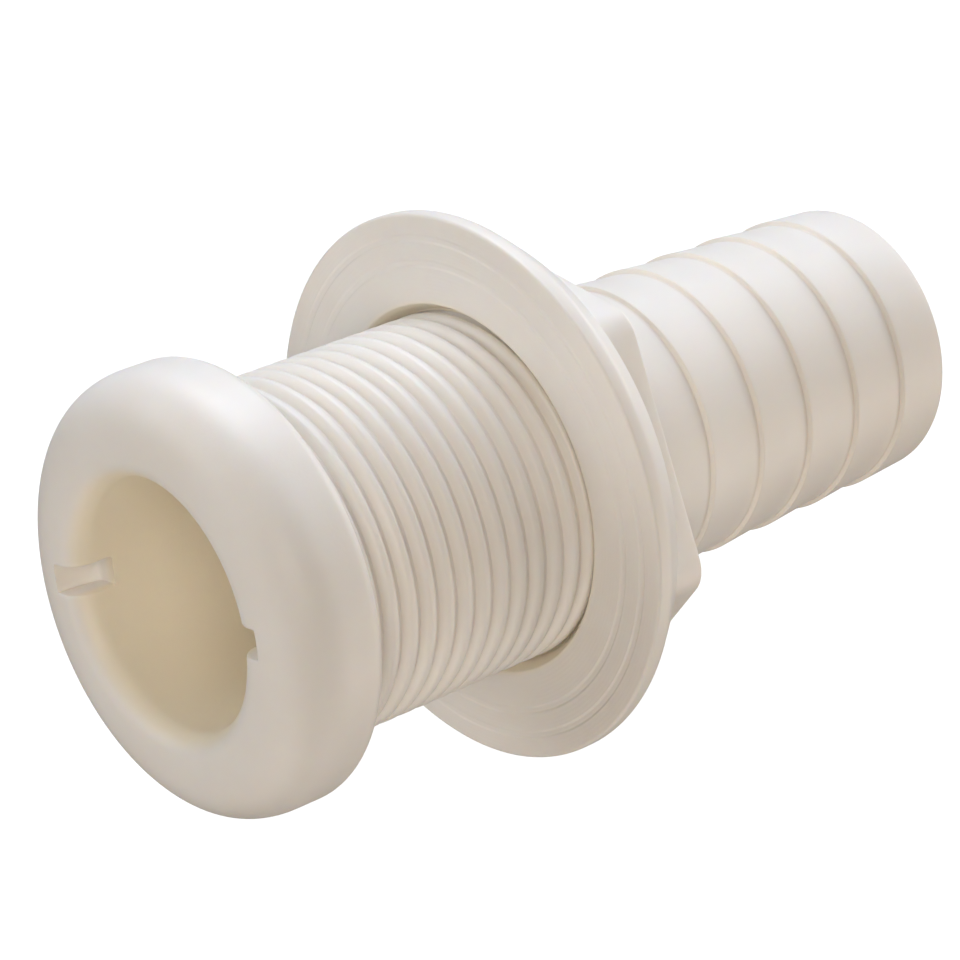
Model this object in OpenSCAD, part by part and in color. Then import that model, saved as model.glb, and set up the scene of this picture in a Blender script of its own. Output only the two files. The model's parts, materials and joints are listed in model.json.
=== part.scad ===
// Plastic thru hull fitting for a 38 mm hose: a mushroom head, a threaded barrel and a barbed hose
// tail moulded in one piece, with a flanged hexagonal lock nut that screws along the barrel.
// X is the fitting's axis and points from the head to the hose end. The origin is on the axis, in the
// plane of the head's bearing face, which seats on the outside of the hull.

/* [Head] */
// Outside diameter of the mushroom head
head_d = 59; // [56:0.5:70]
// Thickness of the head, from its crown to its bearing face
head_t = 13.3; // [11:0.1:16]
// How far the domed front falls from the crown to the rim
head_dome_t = 8; // [5:0.1:9]
// Fullness of the dome's shoulder: 2 is an ellipse, and more is squarer
head_fullness = 2.4; // [2:0.1:3]
// Rounding of the head's back edge
head_back_r = 2; // [0.5:0.1:3]
// Rounding of the lip at the mouth of the bore
lip_r = 3.2; // [1:0.1:4]
// Width of each key notch in the mouth
notch_w = 3.8; // [2:0.1:6]
// Depth of each key notch along the axis, from the crown
notch_depth = 6; // [3:0.5:10]
// Radius from the axis to the floor of each key notch
notch_floor_r = 20.8; // [18.5:0.1:22]
// Turn of the pair of notches about the axis, from level
notch_turn = -10; // [-90:1:90]

/* [Bore] */
// Diameter of the through bore
bore_d = 33.5; // [28:0.1:34]

/* [Barrel] */
// Diameter over the thread crests
thread_d = 48; // [46:0.1:50]
// Distance from one thread crest to the next
thread_pitch = 3; // [2:0.1:4]
// Depth of the thread below its crests
thread_depth = 1.1; // [0.5:0.1:1.4]
// Length of the barrel, from the bearing face to the hose tail
barrel_l = 49.5; // [47:0.5:52]
// Plain undercut between the bearing face and the first thread crest
undercut_l = 0.9; // [0.5:0.1:2]

/* [Hose tail] */
// Number of barbs
barb_count = 6; // [3:1:6]
// Diameter over the barb next to the barrel
barb_first_d = 41.6; // [39:0.1:44]
// Diameter over the barb at the hose end
barb_last_d = 39.4; // [38:0.1:42]
// Distance from one barb to the next
barb_pitch = 9.4; // [8:0.1:9.5]
// Height of the step on the barrel side of each barb
barb_step = 0.6; // [0.3:0.1:1]
// Length of plain tail between the barrel and the first barb
tail_neck_l = 5.2; // [3:0.1:6]
// Length of the last ramp, from the last barb to the hose end
tail_end_l = 8.8; // [7:0.1:10]
// Chamfer at the hose end
tail_chamfer = 0.8; // [0.3:0.1:1.2]

/* [Lock nut] */
// Distance from the bearing face to the nut's clamping face
nut_at = 37.6; // [4:0.1:40]
// Diameter of the nut's round flange
flange_d = 75; // [74:0.5:80]
// Thickness of the flange at its rim
flange_rim_t = 2.2; // [2:0.1:5]
// Distance from the clamping face to the back of the flange's cone
flange_t = 6; // [5:0.1:7]
// Diameter of the cone where it ends on the hexagon
flange_cone_d = 69; // [66:0.5:72]
// Size of the hexagon across its flats
hex_af = 61; // [56:0.5:64]
// Rounding of the hexagon's corners
hex_corner_r = 4.5; // [1:0.1:6]
// Height of the whole nut
nut_h = 10.8; // [9:0.1:11.5]
// Turn of the hexagon about the axis
hex_turn = -25; // [-30:1:30]
// Radial clearance between the nut's bore and the thread crests
nut_clearance = 0.1; // [0.05:0.01:0.2]
// Countersink at the nut's clamping face
nut_lead_in = 1.3; // [0.5:0.1:2]

/* [Hidden] */
$fn = 144;

plastic = "ivory";
nut_plastic = "linen";
overrun = 1;
arc_steps = 12;

head_r = head_d / 2;
bore_r = bore_d / 2;
crown_r = bore_r + lip_r;
dome_steps = 32;

crest_r = thread_d / 2;
root_r = crest_r - thread_depth;
collar_r = crest_r + 0.2;
collar_sink = 1;
crest_land = thread_pitch * 0.18;
root_land = thread_pitch * 0.18;
flank_l = (thread_pitch - crest_land - root_land) / 2;
crest_count = floor((barrel_l - undercut_l) / thread_pitch);

tail_r = barb_first_d / 2 - barb_step;
barb_slope_l = 0.35;
tail_l = tail_neck_l + (barb_count - 1) * barb_pitch + tail_end_l;

nut_bore_r = crest_r + nut_clearance;
hex_gap = 0.05;
hex_chamfer = 0.8;

// Radius over barb i, which falls evenly from the barrel to the hose end
function barb_r(i) = (barb_first_d + (barb_last_d - barb_first_d) * i / (barb_count - 1)) / 2;

// Place of barb i along the axis
function barb_x(i) = barrel_l + tail_neck_l + i * barb_pitch;

// Points of a quarter ellipse round (x, r), from angle a to angle b, as [x, r] pairs
function arc(x, r, rx, rr, a, b) =
    [for (i = [0 : arc_steps]) let (t = a + (b - a) * i / arc_steps) [x + rx * cos(t), r + rr * sin(t)]];

// Rounded hexagon as [y, z] pairs, with a flat facing +Y before it is turned
function hexagon() =
    [for (k = [0 : 5], i = [0 : arc_steps])
        let (
            c = (hex_af / 2 - hex_corner_r) / cos(30),
            m = 60 * k + 30,
            t = m - 30 + 60 * i / arc_steps
        ) [c * cos(m) + hex_corner_r * cos(t), c * sin(m) + hex_corner_r * sin(t)]];

// Revolves an outline of [x, r] pairs about the X axis
module revolve(outline) {
    rotate([0, 90, 0])
        rotate([0, 0, 180])
            rotate_extrude()
                polygon([for (p = outline) [p[1], p[0]]]);
}

// A cylinder along X from x0 to x1
module rod(x0, x1, r) {
    translate([x0, 0, 0])
        rotate([0, 90, 0])
            cylinder(h = x1 - x0, r = r);
}

// Points of the dome, from the crown to the rim
function dome() =
    [for (i = [0 : dome_steps], a = 90 * i / dome_steps) [
        head_dome_t - head_t - head_dome_t * pow(cos(a), 2 / head_fullness),
        crown_r + (head_r - crown_r) * pow(sin(a), 2 / head_fullness)
    ]];

// Slot across the mouth that cuts the pair of key notches
module notch_pair() {
    rotate([notch_turn, 0, 0])
        intersection() {
            translate([-head_t - overrun, -head_r, -notch_w / 2])
                cube([notch_depth + overrun, head_d, notch_w]);
            rod(-head_t - 2 * overrun, 0, notch_floor_r);
        }
}

module mushroom_head() {
    color(plastic)
        difference() {
            revolve(concat(
                [[-collar_sink, bore_r]],
                arc(lip_r - head_t, crown_r, lip_r, lip_r, 270, 180),
                dome(),
                arc(-head_back_r, head_r - head_back_r, head_back_r, head_back_r, 90, 0),
                [[0, collar_r], [-collar_sink, collar_r]]
            ));
            notch_pair();
        }
}

module threaded_barrel() {
    color(plastic)
        revolve(concat(
            [[-collar_sink, bore_r], [-collar_sink, collar_r], [0, collar_r], [0, root_r]],
            [for (i = [0 : crest_count - 1], p = [
                [0, root_r],
                [flank_l, crest_r],
                [flank_l + crest_land, crest_r],
                [2 * flank_l + crest_land, root_r]
            ]) [undercut_l + i * thread_pitch + p[0], p[1]]],
            [[barrel_l, root_r], [barrel_l, bore_r]]
        ));
}

module hose_tail() {
    tail_end = barrel_l + tail_l;
    end_r = barb_r(barb_count - 1) - barb_step;
    color(plastic)
        revolve(concat(
            [[barrel_l, bore_r], [barrel_l, tail_r]],
            [for (i = [0 : barb_count - 1], p = [
                [-barb_slope_l, barb_r(i) - barb_step],
                [0, barb_r(i)]
            ]) [barb_x(i) + p[0], p[1]]],
            [
                [tail_end - tail_chamfer, end_r],
                [tail_end, end_r - tail_chamfer],
                [tail_end, bore_r]
            ]
        ));
}

module nut_flange() {
    color(nut_plastic)
        translate([nut_at, 0, 0])
            revolve([
                [0, nut_bore_r + nut_lead_in],
                [0, flange_d / 2 - 0.4],
                [0.4, flange_d / 2],
                [flange_rim_t, flange_d / 2],
                [flange_t, flange_cone_d / 2],
                [flange_t, nut_bore_r],
                [nut_lead_in, nut_bore_r]
            ]);
}

module nut_hex() {
    hex_h = nut_h - flange_t - hex_gap;
    corner_r = (hex_af / 2 - hex_corner_r) / cos(30) + hex_corner_r;
    color(nut_plastic)
        translate([nut_at + flange_t + hex_gap, 0, 0])
            difference() {
                intersection() {
                    rotate([hex_turn, 0, 0])
                        rotate([90, 0, 90])
                            linear_extrude(hex_h)
                                polygon(hexagon());
                    revolve([
                        [0, 0],
                        [0, corner_r + 2 * (hex_h - hex_chamfer)],
                        [hex_h, corner_r - 2 * hex_chamfer],
                        [hex_h, 0]
                    ]);
                }
                rod(-overrun, hex_h + overrun, nut_bore_r);
            }
}

mushroom_head();
threaded_barrel();
hose_tail();
nut_flange();
nut_hex();
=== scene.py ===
"""Looks for the plastic thru hull fitting: a moulded body and a lock nut, with a real helical thread."""

import json
import math

import bmesh
import bpy
import numpy as np
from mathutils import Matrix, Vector


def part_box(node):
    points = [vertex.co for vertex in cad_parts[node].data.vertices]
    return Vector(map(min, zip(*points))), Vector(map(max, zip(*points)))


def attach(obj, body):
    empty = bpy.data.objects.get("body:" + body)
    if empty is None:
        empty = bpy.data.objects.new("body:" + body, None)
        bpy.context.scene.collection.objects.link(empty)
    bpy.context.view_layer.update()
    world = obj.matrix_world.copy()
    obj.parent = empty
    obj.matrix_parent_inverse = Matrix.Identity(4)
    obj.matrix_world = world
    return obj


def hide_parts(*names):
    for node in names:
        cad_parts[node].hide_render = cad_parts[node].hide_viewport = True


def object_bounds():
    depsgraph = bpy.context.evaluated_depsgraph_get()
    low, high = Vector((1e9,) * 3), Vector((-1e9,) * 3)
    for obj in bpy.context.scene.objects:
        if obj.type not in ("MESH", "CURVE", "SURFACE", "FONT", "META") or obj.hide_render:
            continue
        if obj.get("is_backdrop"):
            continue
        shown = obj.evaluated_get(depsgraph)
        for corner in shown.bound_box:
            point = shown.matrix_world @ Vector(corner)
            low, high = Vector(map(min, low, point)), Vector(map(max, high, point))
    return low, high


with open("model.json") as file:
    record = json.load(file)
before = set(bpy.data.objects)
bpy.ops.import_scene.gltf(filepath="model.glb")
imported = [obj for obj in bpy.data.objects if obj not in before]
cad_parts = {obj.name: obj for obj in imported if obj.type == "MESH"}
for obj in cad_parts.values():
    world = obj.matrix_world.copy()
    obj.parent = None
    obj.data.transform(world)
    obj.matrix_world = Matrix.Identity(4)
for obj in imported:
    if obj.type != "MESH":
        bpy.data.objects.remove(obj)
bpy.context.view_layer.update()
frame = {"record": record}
record = frame["record"]

MM = 0.001
TAU = 2 * math.pi


# ---------------------------------------------------------------- sizes from the frame, in millimetres


def span(node):
    """Lowest x, highest x and largest radius of a CAD node."""
    low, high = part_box(node)
    return low.x / MM, high.x / MM, high.y / MM


def mount(name):
    return next(m for m in record["mounts"] if m["name"] == name)


coupling = record["behaviour"]["couplings"][0]
PITCH = coupling["ratio"] * TAU / MM
BORE_R = mount("through_bore")["dims"]["r_mm"]
CREST_R = mount("hull_hole")["dims"]["r_mm"]

HEAD_X, _, HEAD_R = span("mushroom_head")
BARREL_END = span("threaded_barrel")[1]
TAIL_END = span("hose_tail")[1]
NUT_X, FLANGE_BACK, FLANGE_R = span("nut_flange")
NUT_BACK = span("nut_hex")[1]

# details of the moulding
LIP_R = 3.2
DOME_T = 8.0
FULLNESS = 2.4
HEAD_BACK_R = 2.0
CROWN_R = BORE_R + LIP_R
NOTCH_HALF = 1.9
NOTCH_DEPTH = 6.0
NOTCH_FLOOR = 21.1
NOTCH_FLOOR_END = 20.2
NOTCH_TURN = -10
NOTCH_EDGE = 0.35
THREAD_DEPTH = 1.1
THREAD_START = 0.7
THREAD_PHASE = 1.5
TAIL_ROOT = 20.2
BARB_X = 5.2
BARB_PITCH = 9.4
BARB_COUNT = 6
BARB_FIRST_R = 20.8
BARB_LAST_R = 19.7
BARB_STEP = 0.6
HEX_FLAT = 30.5
HEX_CORNER = 4.5
HEX_TURN = -25
RIM_T = 2.2
CONE_R = 34.5
COUNTERSINK = 2.4
NUT_GAP = 0.12
HEX_FILLET = 0.8
HEX_EDGE = 0.6
FACE_RINGS = [30.8, 34.2]
FACE_RING_DEPTH = 0.12
MOUTH_FLARE = 1.4


# ---------------------------------------------------------------- profiles


def arc(x, r, rx, rr, a, b, steps):
    """Points of a quarter ellipse round (x, r), from angle a to b in degrees."""
    angles = np.radians(np.linspace(a, b, steps + 1))
    return np.stack([x + rx * np.cos(angles), r + rr * np.sin(angles)], 1)


def dome(steps):
    """Points of the head's dome, from the crown to the rim."""
    a = np.radians(np.linspace(0, 90, steps + 1))
    power = 2 / FULLNESS
    x = HEAD_X + DOME_T - DOME_T * np.cos(a) ** power
    return np.stack([x, CROWN_R + (HEAD_R - CROWN_R) * np.sin(a) ** power], 1)


def line(p, q, steps):
    return np.linspace(p, q, steps + 1)


def rounded(points, radius, steps=4):
    """An open polyline with its inner corners rounded off; radius is one number or one a corner."""
    points = [np.array(p, float) for p in points]
    radii = radius if hasattr(radius, "__len__") else [radius] * (len(points) - 2)
    out = [points[0]]
    for before, corner, after, size in zip(points, points[1:], points[2:], radii):
        a, b = before - corner, after - corner
        la, lb = np.linalg.norm(a), np.linalg.norm(b)
        if size <= 0:
            out.append(corner)
            continue
        cut = min(size, la * 0.45, lb * 0.45)
        start, end = corner + a / la * cut, corner + b / lb * cut
        for t in np.linspace(0, 1, steps + 1):
            out.append((1 - t) ** 2 * start + 2 * t * (1 - t) * corner + t * t * end)
    out.append(points[-1])
    return np.array(out)


def resample(path, count):
    """The same path with count evenly spaced points."""
    length = np.concatenate([[0], np.cumsum(np.linalg.norm(np.diff(path, axis=0), axis=1))])
    even = np.linspace(0, length[-1], count)
    return np.stack([np.interp(even, length, path[:, k]) for k in (0, 1)], 1)


def smoothstep(t):
    t = np.clip(t, 0, 1)
    return t * t * (3 - 2 * t)


def ridge(offset):
    """Height of the thread, 0 to 1, at an axial distance from the nearest crest."""
    away = np.abs((offset + PITCH / 2) % PITCH - PITCH / 2)
    return 1 - smoothstep((away - 0.35) / 1.0)


# ---------------------------------------------------------------- columns round the axis

SEGMENTS = 144
SHARP_FROM = 38
NOTCH_HALF_COLUMNS = [0.4, 1.2, 1.85, 1.95, 2.05, 2.25, 2.6, 3.2]
NOTCH_COLUMNS = [-y for y in reversed(NOTCH_HALF_COLUMNS)] + NOTCH_HALF_COLUMNS
MOUTH_R = 18.5
NOTCH_ANGLES = [math.radians(NOTCH_TURN), math.radians(NOTCH_TURN + 180)]


def body_columns():
    """Angle of each column, with the notch it belongs to and its place across that notch."""
    half = math.asin(NOTCH_COLUMNS[-1] / MOUTH_R)
    columns = []
    for k in range(2):
        start, end = NOTCH_ANGLES[k] + half, NOTCH_ANGLES[k] + math.pi - half
        plain = np.linspace(start, end, SEGMENTS // 2 - 6)[1:-1]
        for j in range(len(NOTCH_COLUMNS)):
            columns.append((NOTCH_ANGLES[k] + math.asin(NOTCH_COLUMNS[j] / MOUTH_R), k, j))
        columns += [(a, None, None) for a in plain]
    return columns


COLUMNS = body_columns()
THETA = np.array([c[0] for c in COLUMNS] + [COLUMNS[0][0] + TAU])
COLUMNS = COLUMNS + [COLUMNS[0]]


def ring(x, r, theta=THETA):
    """One row of the grid, with the same x and r all the way round."""
    return np.stack([np.full_like(theta, x), np.full_like(theta, r), theta], 1)


def lathe(profile, theta=THETA):
    return [ring(x, r, theta) for x, r in profile]


def helix(x0, x1, radius, theta, steps=12):
    """Rows that follow the thread, clamped between two rings at x0 and x1."""
    rows = []
    first = math.floor(x0 / PITCH) - 2
    last = math.ceil(x1 / PITCH) + 1
    for i in range(first * steps, last * steps + 1):
        x = i * PITCH / steps + PITCH * theta / TAU
        x = np.clip(x, x0, x1)
        rows.append(np.stack([x, radius(x, theta), theta], 1))
    return rows


def barrel_radius(x, theta):
    """Outside radius of the barrel, with its thread fading out at both ends."""
    height = ridge(x - PITCH * theta / TAU - THREAD_PHASE)
    fade = smoothstep((x - THREAD_START) / 1.6) * smoothstep((BARREL_END - x) / 1.2)
    return CREST_R - THREAD_DEPTH + THREAD_DEPTH * height * fade


def grid_mesh(name, rows):
    """Builds a closed surface from rows of [x, r, theta] in millimetres."""
    bm = bmesh.new()
    made = []
    for row in rows:
        made.append(
            [bm.verts.new((x * MM, r * MM * math.cos(t), r * MM * math.sin(t))) for x, r, t in row]
        )
    made.append(made[0])
    for a, b in zip(made, made[1:]):
        for j in range(len(a) - 1):
            bm.faces.new((a[j], a[j + 1], b[j + 1], b[j]))
    bmesh.ops.remove_doubles(bm, verts=bm.verts, dist=2e-6)
    bmesh.ops.dissolve_degenerate(bm, edges=bm.edges, dist=1e-6)
    bmesh.ops.recalc_face_normals(bm, faces=bm.faces)
    mesh = bpy.data.meshes.new(name)
    bm.to_mesh(mesh)
    bm.free()
    mesh.polygons.foreach_set("use_smooth", [True] * len(mesh.polygons))
    mesh.set_sharp_from_angle(angle=math.radians(SHARP_FROM))
    piece = bpy.data.objects.new(name, mesh)
    bpy.context.scene.collection.objects.link(piece)
    return piece


# ---------------------------------------------------------------- the body


def mouth_rows():
    """Rows from the bore, round the lip, to the dome, with the two key notches cut into them."""
    end_x = HEAD_X + NOTCH_DEPTH
    crown = dome(400)
    past = int(np.argmax(crown[:, 1] > NOTCH_FLOOR))
    outer = np.concatenate(
        [
            line((end_x, BORE_R), (HEAD_X + LIP_R, BORE_R), 20),
            arc(HEAD_X + LIP_R, CROWN_R, LIP_R, LIP_R, 270, 180, 60)[1:],
            crown[1 : past + 1],
        ]
    )
    start, end = outer[0], outer[-1]
    inner = rounded([start, (end_x, NOTCH_FLOOR_END), end], 0.8, 8)
    count = 34
    outer, inner = resample(outer, count), resample(inner, count)
    step = np.gradient(outer, axis=0)
    normal = np.stack([step[:, 1], -step[:, 0]], 1)
    normal /= np.linalg.norm(normal, axis=1)[:, None]
    if ((inner - outer) * normal)[count // 2].sum() < 0:
        normal = -normal
    room = np.linalg.norm(inner - outer, axis=1)
    half = len(NOTCH_COLUMNS) // 2
    e = NOTCH_EDGE
    # for each column from the outside in: place across the notch, and depth below the surface,
    # where None is on the notch's floor
    shape = [
        (3.2, 0),
        (2.6, 0),
        (NOTCH_HALF + e, 0),
        (NOTCH_HALF + 0.3 * e, 0.3 * e),
        (NOTCH_HALF, e),
        (NOTCH_HALF, None),
        (1.2, None),
        (0.4, None),
    ]
    rows = []
    for i in range(count):
        row = ring(outer[i, 0], outer[i, 1])
        for c, (theta, notch, j) in enumerate(COLUMNS):
            if notch is None:
                continue
            side = -1 if j < half else 1
            place, depth = shape[j if j < half else len(NOTCH_COLUMNS) - 1 - j]
            if depth is None:
                x, r = inner[i]
            else:
                x, r = outer[i] + normal[i] * min(depth, room[i] * 0.5)
            turn = math.asin(side * place / r)
            row[c] = (x, r, NOTCH_ANGLES[notch] + turn + (TAU if c == len(COLUMNS) - 1 else 0))
        rows.append(row)
    return rows, end


def body_profile():
    mouth, mouth_end = mouth_rows()
    stops = [TAIL_END - 1.0, 60, 20, 0, HEAD_X + NOTCH_DEPTH + 1.2, HEAD_X + NOTCH_DEPTH + 0.3]
    bore_in = lathe([(x, BORE_R) for x in stops])
    outer = dome(56)
    outer = outer[outer[:, 1] > mouth_end[1] + 0.1]
    rim = line(outer[-1], (-HEAD_BACK_R, HEAD_R), 3)[1:]
    back = arc(-HEAD_BACK_R, HEAD_R - HEAD_BACK_R, HEAD_BACK_R, HEAD_BACK_R, 90, 0, 10)[1:]
    root = CREST_R - THREAD_DEPTH
    seat = rounded([back[-1], (0, root), (THREAD_START, root)], 0.35)[1:-1]
    thread = helix(THREAD_START, BARREL_END, barrel_radius, THETA)
    tail = [(BARREL_END, root), (BARREL_END, TAIL_ROOT)]
    radii = [0.5, 0.4]
    for i in range(BARB_COUNT):
        top = BARB_FIRST_R + (BARB_LAST_R - BARB_FIRST_R) * i / (BARB_COUNT - 1)
        x = BARREL_END + BARB_X + BARB_PITCH * i
        tail += [(x - 0.3, top - BARB_STEP), (x, top)]
        radii += [0.16, 0.14]
    end_r = BARB_LAST_R - BARB_STEP
    tail += [(TAIL_END, end_r), (TAIL_END, BORE_R), (TAIL_END - 1.0, BORE_R)]
    radii += [0.9, 0.35]
    tail = rounded([(BARREL_END - 0.3, root)] + tail, radii, 5)
    tail = refine(tail, 2.5)
    head = lathe(outer) + lathe(rim) + lathe(back) + lathe(seat)
    return bore_in + mouth + head + thread + lathe(tail[2:-1])


def refine(path, longest):
    """The path with its long straight runs cut into shorter ones."""
    out = [path[0]]
    for p, q in zip(path, path[1:]):
        n = max(1, math.ceil(np.linalg.norm(q - p) / longest))
        out += [p + (q - p) * k / n for k in range(1, n + 1)]
    return np.array(out)


# ---------------------------------------------------------------- the nut

NUT_THETA = np.linspace(0, TAU, 217)


def hexagon_radius(theta):
    """Radius of the rounded hexagon at each angle."""
    local = np.abs((theta - math.radians(HEX_TURN) + TAU / 12) % (TAU / 6) - TAU / 12)
    centre = (HEX_FLAT - HEX_CORNER) / math.cos(TAU / 12)
    corner_from = math.atan((HEX_FLAT - HEX_CORNER) * math.tan(TAU / 12) / HEX_FLAT)
    away = TAU / 12 - local
    flat = HEX_FLAT / np.cos(local)
    curved = centre * np.cos(away) + np.sqrt(
        np.maximum(HEX_CORNER**2 - (centre * np.sin(away)) ** 2, 0)
    )
    return np.where(local < corner_from, flat, curved)


def nut_radius(x, theta):
    """Inside radius of the nut: its thread lies in the barrel's grooves with a small gap."""
    height = ridge(x - PITCH * theta / TAU - THREAD_PHASE)
    fade = smoothstep((x - NUT_X - COUNTERSINK + 0.4) / 1.2) * smoothstep((NUT_BACK - x) / 1.0)
    return CREST_R + NUT_GAP - THREAD_DEPTH * (1 - height) * fade


def nut_row(x, r):
    """One row of the nut; x and r are each one number or one for each angle."""
    full = np.zeros_like(NUT_THETA)
    return np.stack([full + x, full + r, NUT_THETA], 1)


def nut_rows():
    hexagon = hexagon_radius(NUT_THETA)
    front = [(NUT_X + COUNTERSINK, CREST_R + NUT_GAP), (NUT_X, CREST_R + MOUTH_FLARE)]
    for r in FACE_RINGS:
        top = NUT_X + FACE_RING_DEPTH
        front += [(NUT_X, r - 0.55), (top, r - 0.3), (top, r + 0.3), (NUT_X, r + 0.55)]
    front += [(NUT_X, FLANGE_R), (NUT_X + RIM_T, FLANGE_R), (FLANGE_BACK, CONE_R)]
    radii = [0.25] + [0.2] * (4 * len(FACE_RINGS)) + [0.5, 0.7]
    rows = lathe(refine(rounded(front, radii, 5), 2.5), NUT_THETA)
    # across the cone's back to a fillet at the foot of the hexagon
    fillet = np.minimum(HEX_FILLET, CONE_R - hexagon)
    for t in (0.35, 0.7, 1.0):
        rows.append(nut_row(FLANGE_BACK, CONE_R + (hexagon + fillet - CONE_R) * t))
    quarter = np.radians(np.linspace(0, 90, 6))[1:]
    for a in quarter:
        x = FLANGE_BACK + fillet * (1 - np.cos(a))
        rows.append(nut_row(x, hexagon + fillet * (1 - np.sin(a))))
    for x in np.linspace(FLANGE_BACK + HEX_FILLET, NUT_BACK - HEX_EDGE, 4):
        rows.append(nut_row(np.maximum(FLANGE_BACK + fillet, x), hexagon))
    for a in quarter:
        x = NUT_BACK - HEX_EDGE + HEX_EDGE * math.sin(a)
        rows.append(nut_row(x, hexagon - HEX_EDGE * (1 - math.cos(a))))
    # across the back and into the thread
    inner = CREST_R + NUT_GAP
    for t in (0.3, 0.6, 0.85):
        rows.append(nut_row(NUT_BACK, (hexagon - HEX_EDGE) * (1 - t) + (inner + 0.6) * t))
    lead = rounded([(NUT_BACK, inner + 1.2), (NUT_BACK, inner), (NUT_BACK - 1.2, inner)], 0.5)
    rows += lathe(lead[1:-1], NUT_THETA)
    thread = helix(NUT_X + COUNTERSINK, NUT_BACK - 0.55, nut_radius, NUT_THETA)
    return rows + thread[::-1]


body = grid_mesh("fitting_body", body_profile())
nut = grid_mesh("lock_nut", nut_rows())

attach(body, "fitting")
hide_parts("mushroom_head", "threaded_barrel", "hose_tail")
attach(nut, "nut")
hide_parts("nut_flange", "nut_hex")


# ---------------------------------------------------------------- materials


class Nodes:
    """Adds nodes to a material and links them."""

    def __init__(self, mat):
        mat.use_nodes = True
        self.tree = mat.node_tree
        self.shader = self.tree.nodes["Principled BSDF"]

    def add(self, kind, inputs=(), **settings):
        node = self.tree.nodes.new(kind)
        for key, value in settings.items():
            setattr(node, key, value)
        for key, value in dict(inputs).items():
            self.put(node, key, value)
        return node

    def put(self, node, key, value):
        if hasattr(value, "bl_idname") or isinstance(value, bpy.types.NodeSocket):
            self.tree.links.new(value, node.inputs[key])
        else:
            node.inputs[key].default_value = value

    def math(self, operation, a, b=0.0):
        return self.add("ShaderNodeMath", {0: a, 1: b}, operation=operation).outputs[0]

    def noise(self, where, scale, detail=2.0, roughness=0.5):
        inputs = {"Vector": where, "Scale": scale, "Detail": detail, "Roughness": roughness}
        return self.add("ShaderNodeTexNoise", inputs).outputs["Fac"]

    def ramp(self, value, low, high):
        """0 at low and below, 1 at high and above, smooth between."""
        inputs = {"Value": value, "From Min": low, "From Max": high}
        return self.add("ShaderNodeMapRange", inputs, interpolation_type="SMOOTHSTEP").outputs[0]

    def mix(self, factor, a, b):
        node = self.add("ShaderNodeMix", data_type="RGBA")
        self.put(node, 0, factor)
        self.put(node, 6, a)
        self.put(node, 7, b)
        return node.outputs[2]

    def bump(self, height, strength, distance, normal=None):
        inputs = {"Height": height, "Strength": strength, "Distance": distance}
        if normal is not None:
            inputs["Normal"] = normal
        return self.add("ShaderNodeBump", inputs).outputs[0]


IVORY = (0.930, 0.908, 0.875, 1)
CREAM = (0.915, 0.880, 0.830, 1)
# the tone of the painted glow: light come through the nylon and bounced in the bore
GLOW_TAN = (0.99, 0.905, 0.745, 1)
# the colour of the painted shade at the barbs' feet and the thread's roots
CREASE_SHADE = (0.77, 0.69, 0.58, 1)


def plastic(name, warm, crease_shade=None, rings=0.0):
    """Moulded nylon: mottled ivory with a fine skin, and a painted warm glow at small radius that stands
    in for light come through the wall and bounced in the bore.

    warm is two radii, the second where the warm tone has gone, and how strong it is.
    """
    mat = bpy.data.materials.new(name)
    n = Nodes(mat)
    place = n.add("ShaderNodeTexCoord").outputs["Object"]
    axes = n.add("ShaderNodeSeparateXYZ", {0: place}).outputs
    squares = n.math("ADD", n.math("POWER", axes[1], 2.0), n.math("POWER", axes[2], 2.0))
    radius = n.math("SQRT", squares)
    cloud = n.noise(place, 55.0, 3.0, 0.55)
    stretched = n.add("ShaderNodeMapping", {0: place, 3: (0.25, 1.0, 1.0)}).outputs[0]
    flow = n.noise(stretched, 160.0, 4.0, 0.6)
    mottle = n.math("ADD", n.math("MULTIPLY", cloud, 0.7), n.math("MULTIPLY", flow, 0.5))
    colour = n.mix(n.ramp(mottle, 0.35, 0.85), IVORY, CREAM)
    # painted shade mixed into the base colour at each crease where shade falls
    if crease_shade:
        colour = n.mix(crease_shade(n, axes[0], radius), colour, CREASE_SHADE)
    # painted glow: the warm tone is mixed in fully below the first radius and fades out by the second,
    # in place of light come through the wall
    painted_glow = n.math("SUBTRACT", 1.0, n.ramp(radius, warm[0] * MM, warm[1] * MM))
    colour = n.mix(n.math("MULTIPLY", painted_glow, warm[2]), colour, GLOW_TAN)
    n.put(n.shader, "Base Color", colour)
    rough = n.math("ADD", 0.36, n.math("MULTIPLY", n.noise(place, 420.0, 3.0), 0.18))
    n.put(n.shader, "Roughness", rough)
    normal = n.bump(n.noise(place, 90.0, 1.0), 0.25, 0.0006)
    normal = n.bump(n.noise(place, 2600.0, 2.0, 0.6), 0.25, 0.00006, normal)
    if rings:
        wave = n.math("SINE", n.math("MULTIPLY", radius, TAU / (rings * MM)))
        normal = n.bump(wave, 0.12, 0.00003, normal)
    n.put(n.shader, "Normal", normal)
    n.shader.inputs["Subsurface Weight"].default_value = 0.3
    n.shader.inputs["Subsurface Radius"].default_value = (1, 0.72, 0.42)
    n.shader.inputs["Subsurface Scale"].default_value = 0.0016
    n.shader.inputs["IOR"].default_value = 1.53
    return mat


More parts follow.
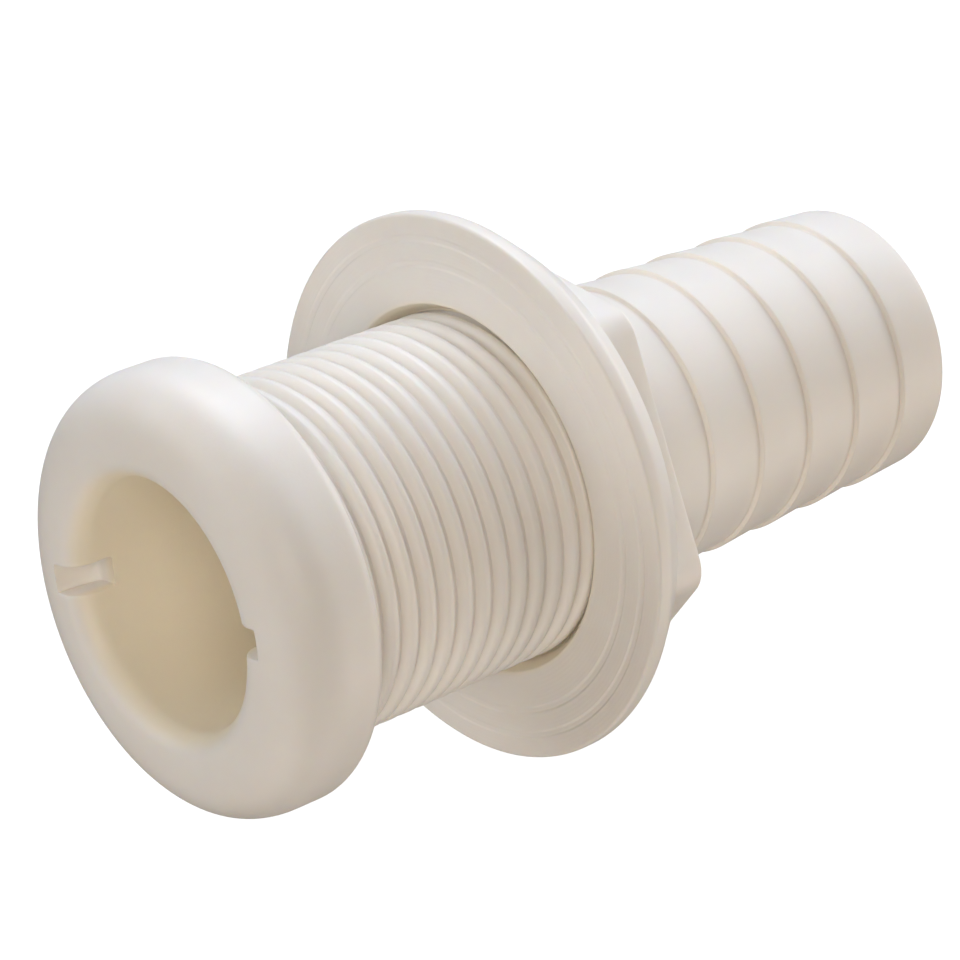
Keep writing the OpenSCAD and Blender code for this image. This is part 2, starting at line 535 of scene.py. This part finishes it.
def body_crease_shade(n, x, radius):
    """Painted shade: 1 at the feet of the barbs' steps and in the roots of the thread, 0 elsewhere; it
    darkens each crease where shade falls.
    """
    foot = (BARREL_END + BARB_X - 0.25) * MM
    wave = n.math("PINGPONG", n.math("SUBTRACT", x, foot), BARB_PITCH / 2 * MM)
    barbs = n.math("SUBTRACT", 1.0, n.ramp(wave, 0.15 * MM, 0.75 * MM))
    last = BARREL_END + BARB_X + BARB_PITCH * (BARB_COUNT - 0.5)
    barbs = n.math("MULTIPLY", barbs, n.math("GREATER_THAN", x, BARREL_END * MM))
    barbs = n.math("MULTIPLY", barbs, n.math("LESS_THAN", x, last * MM))
    root = (CREST_R - THREAD_DEPTH) * MM
    thread = n.math("SUBTRACT", 1.0, n.ramp(radius, root, root + 0.7 * MM))
    thread = n.math("MULTIPLY", thread, n.math("LESS_THAN", x, BARREL_END * MM))
    thread = n.math("MULTIPLY", thread, n.math("GREATER_THAN", x, 0.1 * MM))
    both = n.math("ADD", n.math("MULTIPLY", barbs, 0.3), n.math("MULTIPLY", thread, 0.2))
    return n.math("MULTIPLY", both, n.math("GREATER_THAN", radius, (BORE_R + 1.5) * MM))


# painted glow: warm tan through the bore and round the lip, for light come through the wall and bounced
# in the bore
body_painted_glow = (BORE_R + 0.2, BORE_R + 2.2, 0.9)
# painted glow and painted shade: warm amber in the nut's thread, countersink and mouth, for light come
# through the nylon and the shade in the groove there
nut_painted_glow_and_shade = (CREST_R + 0.9, CREST_R + 2.2, 0.95)
body.data.materials.append(plastic("body_nylon", body_painted_glow, body_crease_shade))
nut.data.materials.append(plastic("nut_nylon", nut_painted_glow_and_shade, rings=0.55))


# ---------------------------------------------------------------- floor and camera

floor_z = min(corner[2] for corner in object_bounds())
bm = bmesh.new()
bmesh.ops.create_grid(bm, x_segments=8, y_segments=8, size=4)
mesh = bpy.data.meshes.new("floor")
bm.to_mesh(mesh)
bm.free()
floor = bpy.data.objects.new("floor", mesh)
floor.location.z = floor_z
bpy.context.scene.collection.objects.link(floor)
floor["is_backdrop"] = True
floor.visible_diffuse = False
floor.visible_glossy = False
floor.visible_transmission = False
floor.visible_shadow = False
pale = bpy.data.materials.new("pale_floor")
n = Nodes(pale)
grain = n.noise(n.add("ShaderNodeTexCoord").outputs["Object"], 30.0)
n.put(n.shader, "Base Color", n.mix(grain, (0.17, 0.17, 0.17, 1), (0.15, 0.15, 0.15, 1)))
n.shader.inputs["Roughness"].default_value = 0.9
n.shader.inputs["Specular IOR Level"].default_value = 0.0
n.shader.inputs["Emission Color"].default_value = (1, 1, 1, 1)
n.shader.inputs["Emission Strength"].default_value = 1.0
floor.data.materials.append(pale)

# the photograph's viewing angle
AZIMUTH, ELEVATION = math.radians(-41.44), math.radians(26.44)
TARGET = Vector((0.04072, 0, 0.000385))
DISTANCE = 0.4949
level = math.cos(ELEVATION)
look = Vector((-math.sin(AZIMUTH) * level, math.cos(AZIMUTH) * level, -math.sin(ELEVATION)))
camera = bpy.data.objects.new("camera", bpy.data.cameras.new("camera"))
camera.data.lens = 140.4
camera.data.sensor_width = 36
camera.location = TARGET - look * DISTANCE
camera.rotation_euler = look.to_track_quat("-Z", "Y").to_euler()
bpy.context.scene.collection.objects.link(camera)
bpy.context.scene.camera = camera
bpy.context.scene.view_settings.view_transform = "Standard"


# ---------------------------------------------------------------- light

COOL = (0.85, 0.9, 1.0)
NEUTRAL = (1.0, 1.0, 1.0)
WARM = (1.0, 0.9, 0.8)
BEHIND = AZIMUTH + math.pi / 2
SOFTNESS = math.radians(40)
LAMP_DISTANCE = 0.6

world = bpy.data.worlds.new("studio")
world.use_nodes = True
background = world.node_tree.nodes["Background"]
background.inputs["Color"].default_value = (*WARM, 1)
background.inputs["Strength"].default_value = 0.1
bpy.context.scene.world = world


def soft_box(name, turn, elevation, strength, colour):
    """A wide soft light; turn is its bearing in degrees from straight behind the object."""
    a, e = BEHIND + math.radians(turn), math.radians(elevation)
    toward = Vector((math.cos(a) * math.cos(e), math.sin(a) * math.cos(e), math.sin(e)))
    light = bpy.data.lights.new(name, "SUN")
    light.energy = strength
    light.color = colour
    light.angle = SOFTNESS
    lamp = bpy.data.objects.new(name, light)
    lamp.location = toward * LAMP_DISTANCE
    lamp.rotation_euler = (-toward).to_track_quat("-Z", "Y").to_euler()
    bpy.context.scene.collection.objects.link(lamp)


soft_box("key", 0, 60, 2.3, COOL)
soft_box("left_fill", 90, 20, 0.9, NEUTRAL)
soft_box("back_fill", -45, 20, 0.9, NEUTRAL)
soft_box("front_fill", 180, 20, 1.2, WARM)
soft_box("side_bounce", -90, -20, 1.0, WARM)
soft_box("low_bounce", 135, -60, 0.7, WARM)
